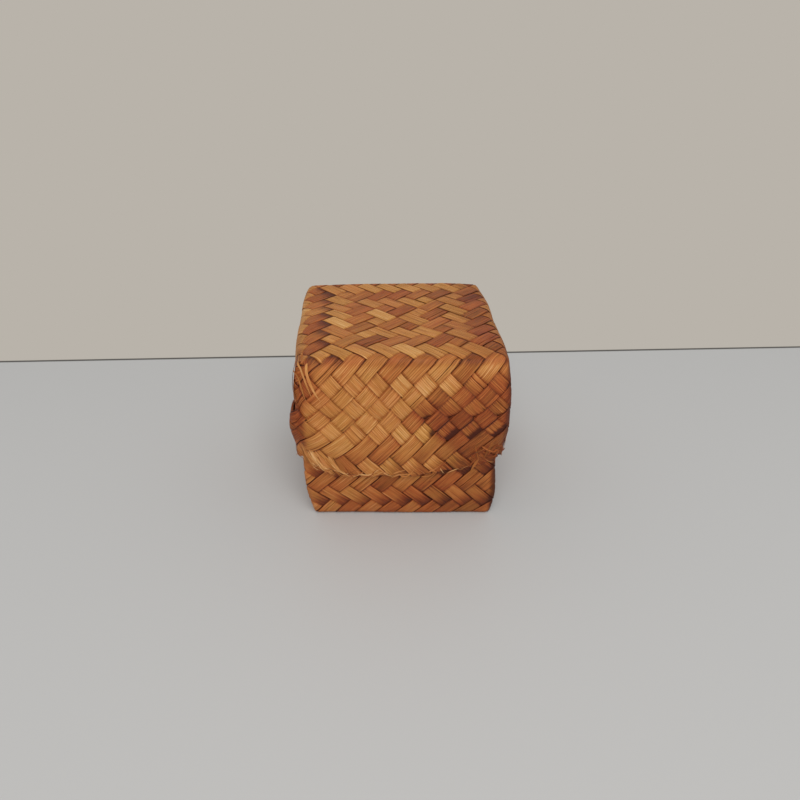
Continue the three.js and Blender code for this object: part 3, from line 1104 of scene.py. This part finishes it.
def bamboo_material(name, tone_shift, red_shift):
    """Split bamboo. Its fibres run along the strip as fine pale and dark lines, with a few
    cracks, a blotchy stain that turns straw to red-brown, and painted shade along its edges."""
    material = bpy.data.materials.new(name)
    n = Nodes(material)
    u, v = n.strip_place()
    seed = n.math("MULTIPLY", n.attribute("seed"), SEED_SPREAD)
    grains = (COARSE_GRAIN, FINE_GRAIN, GROOVE_DRIFT, BLOTCHES, CRACK_LINES)
    coarse, fine, drift, blotch, lines = (n.noise(grain, u, v, seed) for grain in grains)
    across = n.weighted(n.math("MULTIPLY", v, GROOVES), (drift, GROOVE_WANDER))
    between = n.math("ABSOLUTE", n.centred(n.math("FRACT", n.math("ADD", across, seed))))
    groove = n.rise(between, *GROOVE_RISE)
    groove = n.math("MULTIPLY", groove, n.rise(coarse, *GROOVE_GRAIN_RISE))
    from_crack = n.math("DIVIDE", n.math("ABSOLUTE", n.centred(lines)), CRACK_WIDTH)
    crack = n.math("SUBTRACT", 1.0, from_crack, clamp=True)

    tone = n.weighted(
        n.math("ADD", n.attribute("tone"), tone_shift),
        (n.centred(coarse), TONES.coarse),
        (n.centred(fine), TONES.fine),
        (n.centred(blotch), TONES.blotch),
        (groove, TONES.groove),
        (crack, TONES.crack),
        (n.rise(n.math("ABSOLUTE", v), *EDGE_SHADE_RISE), TONES.edge),
    )
    redness = n.math("ADD", n.attribute("red"), red_shift)
    redness = n.weighted(redness, (n.centred(blotch), BLOTCH_REDNESS), clamp=True)
    reliefs = ((fine, RELIEFS.fine), (groove, RELIEFS.groove), (crack, RELIEFS.crack))
    relief = n.weighted(coarse, *reliefs)
    bump = n.new("Bump", Height=relief, Distance=RELIEF_DEPTH, Strength=RELIEF_STRENGTH)
    n.feed(n.tree.nodes["Principled BSDF"], {
        "Base Color": n.mix(redness, n.ramp(tone, STRAW_STOPS), n.ramp(tone, RED_STOPS)),
        "Normal": bump.outputs[0],
        "Roughness": n.weighted(LEAST_ROUGHNESS, (fine, FINE_ROUGHNESS)),
        "Specular IOR Level": SPECULAR,
    })
    return material


materials = {name: bamboo_material(name, *shifts) for name, shifts in BAMBOOS.items()}

# The camera looks along +Y, turned a little to the right of it and down.
CAMERA_YAW = math.radians(2)
CAMERA_PITCH = math.radians(29.87)
CAMERA_DISTANCE = 312.4 * MM
CAMERA_SIDE = 0.5 * MM
CAMERA_HEIGHT = 220.7 * MM
SENSOR = 36
LENS = 30.15
CLIP_START = 10 * MM

# The table ends in a dark line behind the box, and a plain wall shows past it.
FLOOR_REACH = 4
FLOOR_COLOUR = "#b9babb"
FLOOR_ROUGHNESS = 0.6
WALL_COLOUR = "#b9b3aa"
EDGE_COLOUR = "#3a3733"
EDGE_PLACE = 141 * MM
EDGE_SLOPE = 0.007
EDGE_WIDTH = 1.5 * MM
EDGE_FADE_END = 1.6

# A pale sky all round, and one large soft lamp in front of the box and above it.
SKY_COLOUR = "#f4f2ee"
SKY_STRENGTH = 0.6
LAMP_PLACE = (0.07, -1.15, 1.3)
LAMP_SIZE = 1.2
LAMP_WATTS = 20.5
LAMP_COLOUR = (1, 0.975, 0.945)


def place_camera():
    camera = add_object("camera", bpy.data.cameras.new("camera"))
    camera.data.sensor_width = SENSOR
    camera.data.lens = LENS
    camera.data.clip_start = CLIP_START
    ahead = np.array([math.sin(CAMERA_YAW), math.cos(CAMERA_YAW)])
    right = np.array([ahead[1], -ahead[0]])
    x, y = -CAMERA_DISTANCE * ahead + CAMERA_SIDE * right
    camera.location = (x, y, CAMERA_HEIGHT)
    camera.rotation_euler = (QUARTER_TURN - CAMERA_PITCH, 0, -CAMERA_YAW)
    bpy.context.scene.camera = camera


def floor_material():
    """The table's plain grey, and past its far edge, where that is seen, the wall's colour."""
    material = bpy.data.materials.new("floor")
    n = Nodes(material)
    apart = n.new("SeparateXYZ", Vector=n.new("TexCoord").outputs["Object"])
    slanted = n.weighted(apart.outputs[1], (apart.outputs[0], -EDGE_SLOPE))
    from_edge = n.math("SUBTRACT", slanted, EDGE_PLACE)
    past_edge = n.math("DIVIDE", from_edge, EDGE_WIDTH, clamp=True)
    from_line = n.math("DIVIDE", n.math("ABSOLUTE", from_edge), EDGE_WIDTH)
    on_line = n.math("SUBTRACT", EDGE_FADE_END, from_line, clamp=True)
    table = n.feed(n.tree.nodes["Principled BSDF"], {
        "Base Color": n.mix(on_line, linear(FLOOR_COLOUR), linear(EDGE_COLOUR)),
        "Roughness": FLOOR_ROUGHNESS,
    })
    path = n.new("LightPath").outputs
    seen = n.math("ADD", path["Is Camera Ray"], path["Is Glossy Ray"])
    seen = n.math("ADD", seen, path["Is Transmission Ray"], clamp=True)
    wall = n.new("Emission", Color=linear(WALL_COLOUR))
    is_wall = n.math("MULTIPLY", past_edge, seen)
    n.show("Material Output", is_wall, table.outputs[0], wall.outputs[0])
    return material


def place_floor():
    mesh = bpy.data.meshes.new("floor")
    corners = FLOOR_REACH * np.array([(-1, -1, 0), (1, -1, 0), (1, 1, 0), (-1, 1, 0)])
    mesh.from_pydata(corners.tolist(), [], [(0, 1, 2, 3)])
    mesh.materials.append(floor_material())
    add_object("floor", mesh)


def place_lamp():
    """A square lamp that points at the middle of the box."""
    light = bpy.data.lights.new("key", "AREA")
    light.size = LAMP_SIZE
    light.energy = LAMP_WATTS
    light.color = LAMP_COLOUR
    lamp = add_object("key", light)
    lamp.location = LAMP_PLACE
    aim = lamp.location.copy()
    aim.z -= BOX_HEIGHT / 2
    lamp.rotation_euler = aim.to_track_quat("Z", "Y").to_euler()


def place_sky():
    """A sky that lights the box, and shows the camera the wall's colour."""
    world = bpy.data.worlds.new("world")
    bpy.context.scene.world = world
    n = Nodes(world)
    sky = {"Color": linear(SKY_COLOUR), "Strength": SKY_STRENGTH}
    sky = n.feed(n.tree.nodes["Background"], sky)
    beyond = n.new("Background", Color=linear(WALL_COLOUR))
    by_camera = n.new("LightPath").outputs["Is Camera Ray"]
    n.show("World Output", by_camera, sky.outputs[0], beyond.outputs[0])


build_lid()
build_frays()
build_corner_slivers()
build_base()
place_camera()
place_floor()
place_sky()
place_lamp()

bpy.context.scene.view_settings.view_transform = "Standard"
